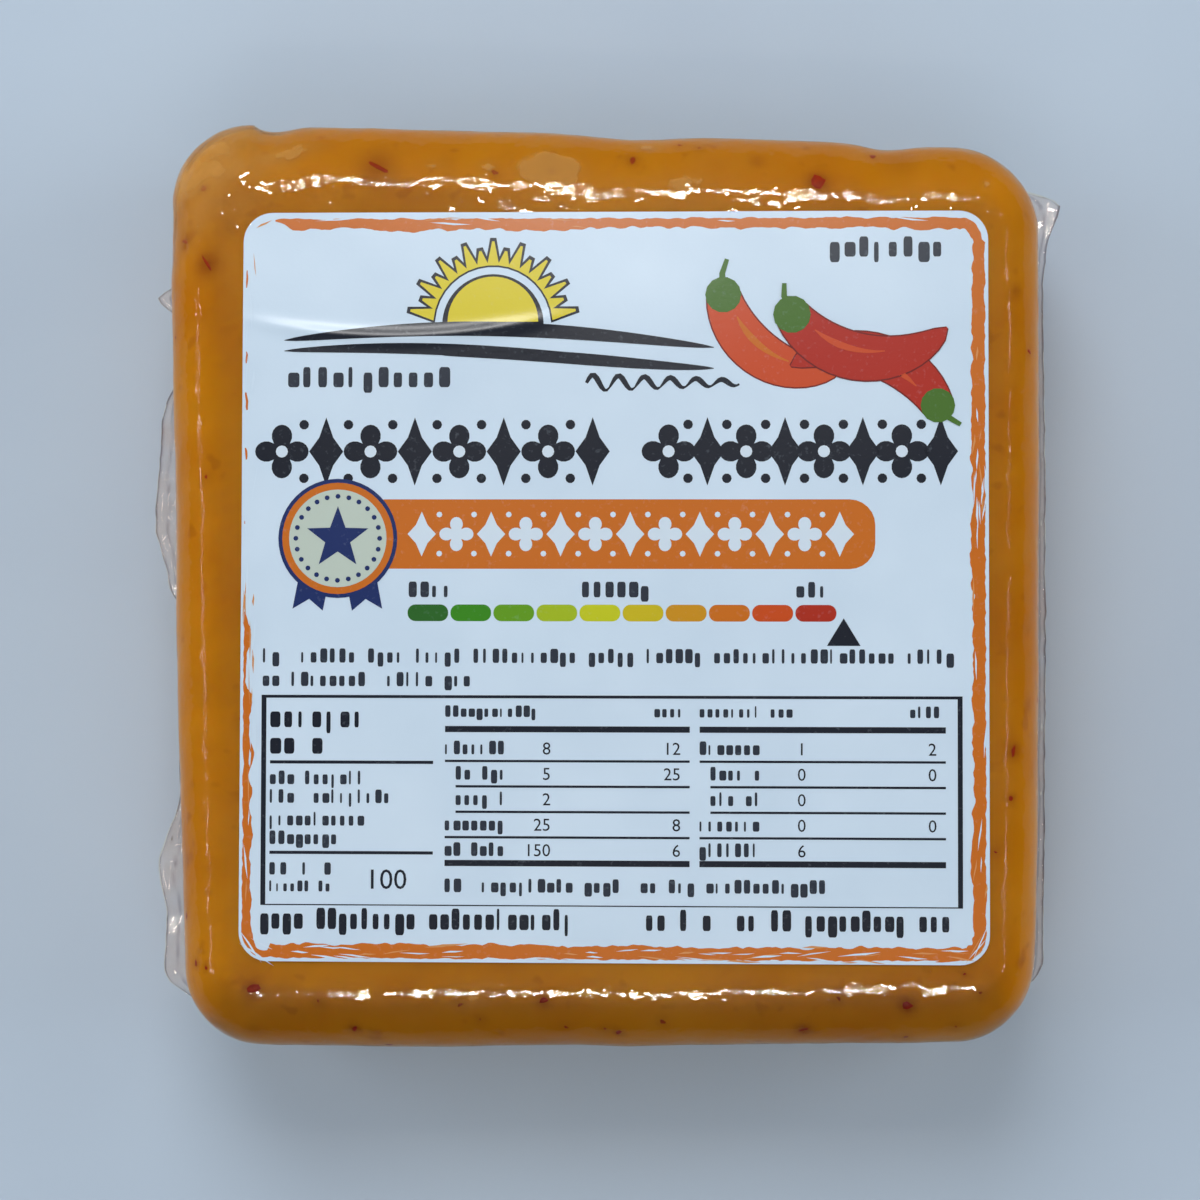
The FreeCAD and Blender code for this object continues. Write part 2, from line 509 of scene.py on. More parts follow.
def film_material():
    """Clear film: glossy by its angle, milky where air lies under it, paler toward the back as a painted
    sheen, and grey along a fin's edge and folds as painted shade.
    """
    n = Finish("clear_film")
    normal = n.relief(n.grain(2.6, 0.22), n.grain(0.9, 0.022))
    # Painted shade: the film turns grey along a fin's edge and its folds, where it darkens by refraction
    through = n.mix(n.value("edge"), (0.99, 0.99, 0.99, 1.0), srgb(176, 176, 186))
    clear = n.add("ShaderNodeBsdfTransparent", {"Color": through}).outputs["BSDF"]
    milk_and_sheen = n.add("ShaderNodeBsdfDiffuse", {"Color": srgb(214, 160, 86)}).outputs["BSDF"]
    # The haze attribute read here holds real milkiness and, toward the back, a painted sheen
    veil = n.times(n.value("haze_and_sheen"), n.mottle(3.2, 0.05, 0.62, 2.0))
    air = n.plus(n.value("air"), n.mottle(1.7, 0.35, 0.65, amount=0.16))
    haze_and_sheen = n.maths("MAXIMUM", veil, n.ramp(air, 0.46, 0.56, 0.48))
    body = n.add("ShaderNodeMixShader", {"Fac": haze_and_sheen, 1: clear, 2: milk_and_sheen}).outputs["Shader"]
    shine = {"Color": (1.0, 0.93, 0.80, 1.0), "Roughness": 0.03, "Normal": normal}
    gloss = n.add("ShaderNodeBsdfGlossy", shine).outputs["BSDF"]
    angle = n.add("ShaderNodeFresnel", {"IOR": 1.30, "Normal": normal}).outputs["Fac"]
    shader = n.add("ShaderNodeMixShader", {"Fac": angle, 1: body, 2: gloss})
    return n.finish(shader.outputs["Shader"])


# ------------------------------------------------------------------ cheese and film

# Air under the film: x, y, half width, half length, degrees, strength
AIR_POCKETS = [
    (-5.6, 42.8, 3.8, 2.3, -8, 0.9),
    (-12.0, 43.0, 0.9, 0.8, 0, 0.6),
    (-18.0, 43.0, 1.3, 0.6, 0, 0.55),
    (8.0, 41.0, 4.5, 2.6, 10, 0.5),
    (4.2, 45.6, 1.2, 0.6, 0, 0.7),
    (-32.0, 44.8, 4.2, 1.1, 18, 0.6),
    (-42.6, 38.5, 1.0, 4.6, 8, 0.35),
    (-40.4, 43.3, 0.6, 1.8, 20, 0.6),
    (39.0, 41.0, 0.5, 0.5, 0, 0.8),
    (-13.0, -42.0, 2.0, 0.8, 25, 0.5),
    (22.0, -40.8, 2.0, 0.7, 0, 0.35),
]

SLOW_SIZE, SLOW_DEPTH, SLOW_SEED = 19.0, 0.2, 1
FILM_THICKNESS = 0.10
POCKET_LIFT = 0.30  # how far the film stands off the cheese over a full pocket

# The back left corner, where the film stands off the cheese like a tent
TENT_X, TENT_Y = -44.5, 47.0
TENT_REACH = 15.0
TENT_LIFT = 0.75
TENT_LOW, TENT_HIGH = 7.0, 19.0  # it fades between these levels, down the corner

# How milky the film is, from 0 to 1; toward the back it is paler as a painted sheen
POCKET_HAZE = 0.25
PAINTED_BACK_SHEEN = 0.06
HAZE_EVERYWHERE = 0.03
MOST_HAZE_AND_SHEEN = 0.6


def slow_lumps_at(x, y):
    """How far the film's slow lumps move it in or out at a point of the flat top."""
    at = np.array([x, y, TOP - SHELL_INSET])
    return float(waves(at, SLOW_SIZE, SLOW_SEED)) * SLOW_DEPTH - SLOW_DEPTH


def film_and_cheese():
    """Points of the film and of the cheese in it, from the same rings, and how milky the film is, with a
    painted sheen toward the back.
    """
    margin_x = abs(RINGS[..., 0] - LABEL_X) / (LABEL_WIDTH / 2)
    margin_y = abs(RINGS[..., 1] - LABEL_Y) / (LABEL_LENGTH / 2)
    clear_of_label = np.clip((np.maximum(margin_x, margin_y) - 1.0) / 0.08, 0, 1)
    clear_of_label[RINGS[..., 2] < TOP / 2] = 1
    slow = waves(RINGS, SLOW_SIZE, SLOW_SEED) * SLOW_DEPTH - SLOW_DEPTH
    small = waves(RINGS, 6.5, 2) * 0.12 * clear_of_label
    air = spots(RINGS, AIR_POCKETS)
    corner = np.hypot(RINGS[..., 0] - TENT_X, RINGS[..., 1] - TENT_Y)
    fade = np.clip((RINGS[..., 2] - TENT_LOW) / (TENT_HIGH - TENT_LOW), 0, 1)
    tent = np.clip(1 - corner / TENT_REACH, 0, 1) * fade
    film_out = np.minimum(slow + small, 0.0)
    cheese_out = film_out - FILM_THICKNESS - POCKET_LIFT * np.clip(air, 0, 1) - TENT_LIFT * tent
    film_points = RINGS + NORMALS * film_out[..., None]
    fine = 0.03 * waves(film_points, 1.9, 5) * clear_of_label
    film_points = RINGS + NORMALS * (film_out + fine)[..., None]
    cheese_points = RINGS + NORMALS * cheese_out[..., None]
    everywhere = HAZE_EVERYWHERE * np.clip(waves(RINGS, 14.0, 7), 0, 1)
    # Painted sheen: the film is drawn paler toward the back, where the lamps behind it catch it
    painted_back_sheen = PAINTED_BACK_SHEEN * np.clip((RINGS[..., 1] - 30) / 18, 0, 1)
    haze_and_sheen = np.clip(air * POCKET_HAZE + tent**1.4 + painted_back_sheen + everywhere, 0, MOST_HAZE_AND_SHEEN)
    return film_points, cheese_points, air, haze_and_sheen


film_points, cheese_points, air, haze_and_sheen = film_and_cheese()
rows, columns = RINGS.shape[:2]
faces = shell_faces(rows, columns)
cheese = new_piece("cheese_core", shell_vertices(cheese_points), faces, cheese_material())
film_finish = film_material()
film = new_piece("film_skin", shell_vertices(film_points), faces, film_finish)
add_values(film, "haze_and_sheen", np.append(haze_and_sheen.reshape(-1), [0.1, 0.1]))
add_values(film, "air", np.append(air.reshape(-1), [0.0, 0.0]))
add_values(film, "edge", np.zeros(len(film.data.vertices)))

# ------------------------------------------------------------------ pepper flecks

# Flecks that show plainly on the top: x, y, half length, half width, degrees, redness, depth
PLAIN_FLECKS = [
    (-41.5, 41.0, 0.45, 0.40, 80, 1.0, 0.0),
    (-43.6, 35.6, 0.75, 0.28, 70, 0.6, 0.1),
    (-40.9, 33.0, 1.3, 0.22, -55, 0.9, 0.0),
    (-38.6, 36.8, 0.4, 0.3, 0, 0.4, 0.4),
    (-23.4, 43.0, 1.7, 0.35, -30, 0.8, 0.2),
    (-16.2, 43.4, 0.8, 0.7, 0, 0.3, 0.6),
    (2.8, 43.8, 0.6, 0.35, 80, 0.6, 0.2),
    (21.8, 41.2, 1.0, 1.1, 20, 1.0, 0.0),
    (15.6, 43.6, 0.5, 0.3, 85, 0.5, 0.3),
    (30.4, 43.6, 1.5, 0.5, 0, 0.5, 0.5),
    (42.0, 30.0, 0.4, 0.4, 0, 0.7, 0.3),
    (41.6, -16.8, 0.7, 0.3, 75, 0.8, 0.1),
    (41.3, -21.6, 0.4, 0.3, 0, 0.8, 0.2),
    (43.2, -12.2, 0.4, 0.3, 0, 0.6, 0.3),
    (42.3, -38.2, 0.4, 0.3, 0, 0.6, 0.3),
    (30.8, -42.6, 0.75, 0.65, 0, 1.0, 0.0),
    (20.4, -45.2, 0.8, 0.22, 15, 0.9, 0.0),
    (1.6, -45.6, 0.45, 0.3, 60, 0.9, 0.0),
    (-6.0, -42.2, 0.6, 0.45, 0, 0.8, 0.2),
    (-25.4, -45.4, 0.6, 0.28, 70, 1.0, 0.0),
    (-23.4, -46.4, 0.5, 0.3, 0, 0.6, 0.3),
    (-35.6, -41.2, 0.85, 0.65, 0, 0.9, 0.1),
    (-35.8, -45.6, 0.5, 0.3, 60, 0.4, 0.5),
    (-41.8, -38.8, 0.4, 0.25, 0, 0.8, 0.2),
    (-40.6, -39.2, 0.3, 0.25, 0, 0.8, 0.2),
    (-43.0, -28.4, 0.35, 0.3, 0, 0.6, 0.3),
    (16.0, -45.0, 0.7, 1.3, 0, 0.3, 0.7),
]
SMALL_FLECKS_PER_AREA = 7500.0  # in a square metre
FLECK_SIDES = 8
SUNK = 0.3  # a fleck deeper than this shows only as a stain


def hit_from(surface, start, direction):
    """Point and normal, in millimetres, where a line from start meets a surface."""
    point, normal, _, _ = surface.ray_cast(Vector(start) * MM, Vector(direction))
    return point / MM, normal


def add_fleck(parts, surface, centre, normal, size, degrees, draw):
    """Adds one irregular flake to parts, lying on the surface with its rim sunk in."""
    half_l, half_w = size
    side = normal.cross(Vector((0, 0, 1)) if abs(normal.z) < 0.9 else Vector((0, 1, 0))).normalized()
    along = side * math.cos(math.radians(degrees)) + normal.cross(side) * math.sin(math.radians(degrees))
    across = normal.cross(along)
    first = len(parts["points"])
    parts["points"].append(centre + normal * 0.05)
    rim = [draw.uniform(0.65, 1.15) for _ in range(FLECK_SIDES)]
    for share, lift in ((0.7, 0.04), (1.0, -0.03)):
        for k, wide in enumerate(rim):
            a = 2 * math.pi * k / FLECK_SIDES
            at = centre + (along * half_l * math.cos(a) + across * half_w * math.sin(a)) * wide * share
            near, out, _, _ = surface.find_nearest(at * MM)
            parts["points"].append(near / MM + out * lift)
    for k in range(FLECK_SIDES):
        m = (k + 1) % FLECK_SIDES
        inner, outer = first + 1, first + 1 + FLECK_SIDES
        parts["faces"].append((first, inner + k, inner + m))
        parts["faces"].append((inner + k, outer + k, outer + m, inner + m))


def placed_flecks(cheese):
    """The plain flecks as one mesh's parts, and a stain for each: centre, size and strength."""
    surface = BVHTree.FromObject(cheese, bpy.context.evaluated_depsgraph_get())
    draw = random.Random(11)
    parts = {"points": [], "faces": []}
    redness, stains = [], []
    for x, y, half_l, half_w, degrees, red, depth in PLAIN_FLECKS:
        centre, normal = hit_from(surface, (x, y, 2 * TOP), (0, 0, -1))
        stains.append((centre, max(half_l, half_w) * 1.1 + depth * 0.8, (0.9 - depth) * (0.35 + 0.5 * red)))
        if depth < SUNK:
            add_fleck(parts, surface, centre, normal, (half_l, half_w), degrees, draw)
            redness.extend([red] * (1 + 2 * FLECK_SIDES))
    return parts, redness, stains


def fleck_maker():
    """Scatters flakes over the cheese, each turned at random and lying along the surface."""
    inputs = {
        "Density": ("Float", 1.0),
        "Smallest": ("Float", 1.0),
        "Largest": ("Float", 1.0),
        "Seed": ("Int", 0),
    }
    g = Maker("scattered_flakes", inputs)
    spread = {"Mesh": g.given["Geometry"], "Density": g.given["Density"], "Seed": g.given["Seed"]}
    points = g.add("GeometryNodeDistributePointsOnFaces", spread)
    turn = g.vector(z=g.random(0.0, 2 * math.pi, 1))
    turned = g.add(
        "FunctionNodeRotateRotation",
        {"Rotation": points.outputs["Rotation"], "Rotate By": turn},
        rotation_space="LOCAL",
    )
    long = g.random(g.given["Smallest"], g.given["Largest"], 2)
    wide = g.times(long, g.random(0.4, 0.9, 3))
    size = g.vector(long, wide, g.given["Smallest"])
    flakes = g.copies(points.outputs["Points"], turned.outputs["Rotation"], size)
    named = {"Geometry": flakes, "Name": "redness", "Value": g.random(0.2, 1.0, 4)}
    stored = g.add("GeometryNodeStoreNamedAttribute", named, data_type="FLOAT", domain="INSTANCE")
    g.end(stored.outputs["Geometry"])
    return g


def small_flecks(cheese, finish):
    """The scattered flecks as a piece of their own, and their centres."""
    rim = [(math.cos(2 * math.pi * k / FLECK_SIDES), math.sin(2 * math.pi * k / FLECK_SIDES))
           for k in range(FLECK_SIDES)]
    uneven = [1.0, 0.8, 1.1, 0.7, 0.95, 1.05, 0.75, 1.0]
    points = [(0, 0, 0.25)]
    points += [(0.7 * x * u, 0.7 * y * u, 0.2) for (x, y), u in zip(rim, uneven)]
    points += [(x * u, y * u, -0.2) for (x, y), u in zip(rim, uneven)]
    faces = []
    for k in range(FLECK_SIDES):
        m = (k + 1) % FLECK_SIDES
        faces += [(0, 1 + k, 1 + m), (1 + k, 1 + FLECK_SIDES + k, 1 + FLECK_SIDES + m, 1 + m)]
    flake = new_piece("flake", np.array(points) / MM, faces, finish)
    sizes = {"Smallest": 0.16 * MM, "Largest": 0.5 * MM, "Density": SMALL_FLECKS_PER_AREA, "Seed": 5}
    mesh = fleck_maker().run(cheese, Shape=flake, Finish=finish, **sizes)
    bpy.data.objects.remove(flake)
    mesh.name = "small_flecks"
    corners = np.empty(len(mesh.vertices) * 3, np.float32)
    mesh.vertices.foreach_get("co", corners)
    centres = corners.reshape(-1, len(points), 3)[:, 0] / MM
    return put_in_scene("small_flecks", mesh), centres


def pepper_material():
    n = Finish("pepper_skin")
    red = n.mix(n.value("redness"), srgb(166, 84, 8), srgb(172, 40, 2))
    colour = n.mix(n.mottle(0.5, 0.35, 0.7, amount=0.45), red, srgb(112, 26, 4))
    normal = n.relief(n.grain(0.3, 0.02))
    return n.principled(
        {"Base Color": colour, "Roughness": 0.5, "Specular IOR Level": 0.06, "Normal": normal}
    )


pepper = pepper_material()
fleck_parts, fleck_redness, fleck_stains = placed_flecks(cheese)
flecks = new_piece("pepper_flecks", fleck_parts["points"], fleck_parts["faces"], pepper)
add_values(flecks, "redness", fleck_redness)
scattered, scattered_centres = small_flecks(cheese, pepper)
fleck_stains += [(centre, 0.7, 0.25) for centre in scattered_centres]

cheese_vertices = shell_vertices(cheese_points)
stain = np.zeros(len(cheese_vertices))
for centre, size, strength in fleck_stains:
    away = np.linalg.norm(cheese_vertices - np.array(centre), axis=1)
    stain += strength * np.exp(-((away / size) ** 2))
add_values(cheese, "stain", np.clip(stain, 0, 0.85))

# ------------------------------------------------------------------ fins of film at the sides

FIN_STEP = 0.6
FIN_COLUMNS = 12
FIN_TAPER_ROWS = 4
FIN_SUNK = 0.3  # how far a fin's root lies inside the film
FIN_SHORTEST = 0.35
FIN_BACK_FROM_CAD = 0.15  # how far its edge stays inside the CAD fin's edge
FIN_RAGGED = 0.12
FIN_LAYER_GAP = (0.03, 0.22)  # between a layer and the fin's middle: at the ends, and more half way
FIN_SAG = 0.18  # drop of the edge for each millimetre that it stands out
FIN_EDGE_SHADE_WIDTH = 0.16  # width of the grey line of painted shade along the sealed edge, where the film darkens by refraction
FIN_HAZE = 0.10

# Each fin's level on its side, its own noise, and its reach past the side, at places from the back
# end (1) to the front end (-1)
LEFT_FIN = {
    "side": "left",
    "level": 12.6,
    "seed": 8,
    "reaches": [
        (0.71, 0.2), (0.66, 2.9), (0.60, 0.3), (0.51, 0.6), (0.38, 2.6), (0.15, 3.7), (0.02, 2.4),
        (-0.04, 1.2), (-0.45, 1.4), (-0.62, 4.0), (-0.73, 3.1), (-0.85, 3.5), (-0.93, 1.6),
    ],
}
RIGHT_FIN = {
    "side": "right",
    "level": 11.6,
    "seed": 3,
    "reaches": [
        (0.915, -0.9), (0.880, 3.1), (0.76, 1.6), (0.69, 1.3), (0.20, 1.7), (-0.24, 1.8), (-0.88, 1.7),
    ],
}


def reach_at(reaches, place):
    """A fin's reach at a place along the side, eased between its stated places."""
    for (p0, r0), (p1, r1) in zip(reaches, reaches[1:]):
        if p1 <= place <= p0:
            t = (p0 - place) / (p0 - p1)
            return r0 + (r1 - r0) * (1 - math.cos(math.pi * t)) / 2
    return reaches[-1][1]


def fin_height(y, t, layer, long, seed):
    """How far a layer lies above the fin's level, at t from its root (0) to its edge (1)."""
    fold = 0.55 * noise.noise(Vector((y / 2.6, seed + t * 0.8, 1))) * t * min(long, 3) / 2
    slow = 0.9 * noise.noise(Vector((y / 11.0, seed, 2))) * t
    ends, middle = FIN_LAYER_GAP
    gap = layer * (ends + middle * math.sin(math.pi * min(1, t * 1.05)) ** 2)
    crease = 0.08 * noise.noise(Vector((y / 0.9, seed + t * 3, 3 + layer)))
    return fold + slow + gap + crease - FIN_SAG * t * long


def fin_edge_shade(y, t, long, seed):
    """How grey the film is: painted shade along its edge, and faintly along a fold half way out, where the
    film darkens by refraction.
    """
    rim = math.exp(-(((1 - t) * long / FIN_EDGE_SHADE_WIDTH) ** 2))
    fold_at = 0.55 + 0.2 * noise.noise(Vector((y / 5, seed, 6)))
    fold = 0.35 * math.exp(-(((t - fold_at) * long / 0.1) ** 2))
    return min(1, rim + fold)


def fin_piece(name, fin, skin, finish):
    """Two crinkled layers of film that leave the side and meet at the fin's edge."""
    side, level, seed, reaches = (fin[key] for key in ("side", "level", "seed", "reaches"))
    outwards = 1 if side == "right" else -1
    back, front = reaches[0][0], reaches[-1][0]
    rows = math.ceil((back - front) * BLOCK_LENGTH / 2 / FIN_STEP)
    vertices, edges = [], []
    for r in range(rows + 1):
        place = back + (front - back) * r / rows
        y = place * BLOCK_LENGTH / 2
        root, _ = hit_from(skin, (outwards * BLOCK_WIDTH, y, level), (-outwards, 0, 0))
        line = outwards * BLOCK_WIDTH / 2 - math.tan(math.radians(SIDE_TURN[side])) * y
        ragged = FIN_RAGGED * noise.noise(Vector((y / 1.4, seed, 0)))
        tip = line + outwards * (reach_at(reaches, place) - FIN_BACK_FROM_CAD + ragged)
        start = root.x - outwards * FIN_SUNK
        near_end = min(r, rows - r) / FIN_TAPER_ROWS
        long = max((tip - start) * outwards * math.sqrt(min(1.0, near_end)), FIN_SHORTEST)
        for layer in (1, -1):
            for c in range(FIN_COLUMNS + 1):
                t = c / FIN_COLUMNS if layer > 0 else 1 - c / FIN_COLUMNS
                z = level + fin_height(y, t, layer, long, seed)
                vertices.append((start + outwards * long * t, y, z))
                edges.append(fin_edge_shade(y, t, long, seed))
    width = 2 * (FIN_COLUMNS + 1)
    faces = []
    for r in range(rows):
        for c in range(width):
            d = (c + 1) % width
            a, b = r * width, (r + 1) * width
            faces.append((a + c, a + d, b + d, b + c))
    faces.append(tuple(range(width))[::-1])
    faces.append(tuple(rows * width + c for c in range(width)))
    if outwards < 0:
        faces = [face[::-1] for face in faces]
    piece = new_piece(name, vertices, faces, finish)
    # The edge values are painted shade along the fin's edge and folds
    add_values(piece, "edge", edges)
    add_values(piece, "haze_and_sheen", [FIN_HAZE] * len(edges))
    return piece


skin = BVHTree.FromObject(film, bpy.context.evaluated_depsgraph_get())
left_fin = fin_piece("film_fin_left", LEFT_FIN, skin, film_finish)
right_fin = fin_piece("film_fin_right", RIGHT_FIN, skin, film_finish)

# ------------------------------------------------------------------ label

PAPER_UNDER = 0.04  # the label's two faces lie this far above the film
PAPER_OVER = 0.14
INK_LIFT = 0.012  # each layer of print lies this far above the last
LATTICE = 2.5  # the label and its print are cut into squares of this size, so that they bend


def film_level(x, y):
    """Level of the film under the label, which its slow lumps alone shape."""
    return TOP - SHELL_INSET + slow_lumps_at(x, y)


def bend_to_film(bm, lift_of):
    """Cuts a flat mesh, drawn about the label's middle, into a lattice and lays it on the film."""
    for axis, size in ((0, LABEL_WIDTH), (1, LABEL_LENGTH)):
        for k in range(1, math.ceil(size / LATTICE)):
            at, normal = Vector((0, 0, 0)), Vector((0, 0, 0))
            at[axis], normal[axis] = k * LATTICE - size / 2, 1
            everything = bm.verts[:] + bm.edges[:] + bm.faces[:]
            bmesh.ops.bisect_plane(bm, geom=everything, dist=1e-5, plane_co=at, plane_no=normal)
    for v in bm.verts:
        x, y = v.co.x + LABEL_X, v.co.y + LABEL_Y
        v.co = Vector((x, y, film_level(x, y) + lift_of(v.co.z))) * MM


def rounded_rectangle(width, length, radius, steps=8, centre=(0, 0)):
    """Corner points of a rounded rectangle, anticlockwise."""
    points = []
    for k, (sx, sy) in enumerate(((1, 1), (-1, 1), (-1, -1), (1, -1))):
        cx = centre[0] + sx * (width / 2 - radius)
        cy = centre[1] + sy * (length / 2 - radius)
        for j in range(steps + 1):
            dx, dy = facing(90 * k + 90 * j / steps)
            points.append((cx + radius * dx, cy + radius * dy))
    return points


PAPER_WHITE = srgb(206, 225, 242)
PAPER_SHADE = srgb(199, 219, 237)
CREASE_DEPTH = 0.16


def coated_paper(n, colour):
    """Finishes a material as smooth paper, bare or printed, with the crease through it."""
    normal = n.relief(n.grain(0.3, 0.006), n.crease(CREASE_DEPTH))
    sheen = {"Roughness": 0.28, "Specular IOR Level": 0.22}
    return n.principled({"Base Color": colour, "Normal": normal, **sheen})


def paper_material():
    n = Finish("label_paper")
    return coated_paper(n, n.mix(n.mottle(11.0, 0.3, 0.7), PAPER_WHITE, PAPER_SHADE))


def label_sheet():
    bm = bmesh.new()
    outline = rounded_rectangle(LABEL_WIDTH, LABEL_LENGTH, LABEL_CORNER, 10)
    upper = bm.faces.new([bm.verts.new((x, y, 1)) for x, y in outline])
    made = bmesh.ops.extrude_face_region(bm, geom=[upper])
    for v in made["geom"]:
        if isinstance(v, bmesh.types.BMVert):
            v.co.z = 0
    bmesh.ops.recalc_face_normals(bm, faces=bm.faces[:])
    bend_to_film(bm, lambda z: PAPER_OVER if z > 0.5 else PAPER_UNDER)
    return drawn_piece("label_sheet", bm, paper_material())


# ------------------------------------------------------------------ print on the label

INK_BLACK = srgb(12, 20, 36)
INK_SOFT_BLACK = srgb(38, 46, 60)
INK_ORANGE = srgb(196, 104, 16)
INK_ORANGE_DRY = srgb(206, 142, 82)
INK_YELLOW = srgb(214, 198, 40)
INK_CREAM = srgb(186, 200, 190)
INK_NAVY = srgb(16, 40, 98)
INK_RED = srgb(170, 34, 14)
INK_RED_LIGHT = srgb(196, 72, 28)
INK_RED_DARK = srgb(112, 18, 12)
INK_GREEN = srgb(66, 108, 30)
INK_WHITE = srgb(206, 222, 236)
HEAT_STEPS = [
    (34, 98, 28), (50, 132, 8), (94, 152, 8), (158, 182, 14), (190, 196, 16),
    (196, 178, 14), (198, 140, 10), (198, 106, 8), (196, 72, 8), (168, 38, 10),
]


def ink_material():
    """Ink whose colour the print's own attribute gives, with the paper showing through its pinholes."""
    n = Finish("printed_ink")
    ink = n.add("ShaderNodeAttribute", attribute_name="ink").outputs["Color"]
    return coated_paper(n, n.mix(n.mottle(0.5, 0.6, 0.85, 3.0, amount=0.10), ink, PAPER_WHITE))


def flat_shape(name, points):
    """A flat shape for a tree to copy, from its outline in millimetres of the print."""
    mesh = bpy.data.meshes.new(name)
    mesh.from_pydata([(x, y, 0) for x, y in points], [], [tuple(range(len(points)))])
    return put_in_scene(name, mesh)


def row_maker():
    """Copies of a shape in a row to the right, Pitch apart."""
    g = Maker("row_of_shapes", {"Count": ("Int", 5), "Pitch": ("Float", 1.0)})
    step = {"Count": g.given["Count"], "Offset": g.vector(g.given["Pitch"])}
    line = g.add("GeometryNodeMeshLine", step).outputs["Mesh"]
    g.end(g.copies(line))
    return g


def ring_maker():
    """Copies of a shape on an arc, each turned with it, First and Step in degrees."""
    inputs = {
        "Count": ("Int", 8),
        "Radius": ("Float", 5.0),
        "First": ("Float", 0.0),
        "Step": ("Float", 45.0),
    }
    g = Maker("ring_of_shapes", inputs)
    line = g.add("GeometryNodeMeshLine", {"Count": g.given["Count"]}).outputs["Mesh"]
    number = g.add("GeometryNodeInputIndex").outputs["Index"]
    degrees = g.maths("MULTIPLY_ADD", number, g.given["Step"], g.given["First"])
    angle = g.maths("RADIANS", degrees)
    across = g.times(g.maths("COSINE", angle), g.given["Radius"])
    up = g.times(g.maths("SINE", angle), g.given["Radius"])
    placed = {"Geometry": line, "Position": g.vector(across, up)}
    points = g.add("GeometryNodeSetPosition", placed).outputs["Geometry"]
    g.end(g.copies(points, rotation=g.vector(z=angle)))
    return g


def word_maker():
    """A row of word-like groups of small blocks, which stands in for a line of lettering."""
    inputs = {
        "Length": ("Float", 20.0),
        "Height": ("Float", 1.0),
        "Pitch": ("Float", 1.0),
        "Seed": ("Int", 0),
    }
    g = Maker("row_of_words", inputs)
    pitch, height = g.given["Pitch"], g.given["Height"]
    count = g.maths("FLOOR", g.maths("DIVIDE", g.given["Length"], pitch))
    line = g.add("GeometryNodeMeshLine", {"Count": count, "Offset": g.vector(pitch)}).outputs["Mesh"]
    # About one letter in eight is left out as a space, but never the first two
    space = g.maths("LESS_THAN", g.random(0.0, 1.0), 0.13)
    number = g.add("GeometryNodeInputIndex").outputs["Index"]
    space = g.times(space, g.maths("GREATER_THAN", number, 1.5))
    words = g.add("GeometryNodeDeleteGeometry", {"Geometry": line, "Selection": space}).outputs["Geometry"]
    letter = g.random(0.0, 1.0, 100)
    tall = g.maths("GREATER_THAN", letter, 0.70)
    deep = g.maths("LESS_THAN", letter, 0.10)
    reach = g.maths("MULTIPLY_ADD", g.plus(tall, deep), 0.38, 1.0)
    drop = g.times(g.times(deep, height), -0.38)
    settings = {"Geometry": words, "Offset": g.vector(y=drop)}
    points = g.add("GeometryNodeSetPosition", settings).outputs["Geometry"]
    wide = g.times(g.random(0.48, 0.82, 200), pitch)
    thin = g.maths("GREATER_THAN", g.random(0.0, 1.0, 300), 0.22)
    wide = g.times(wide, g.maths("MULTIPLY_ADD", thin, 0.6, 0.4))
    g.end(g.copies(points, scale=g.vector(wide, g.times(reach, height), 1.0)))
    return g


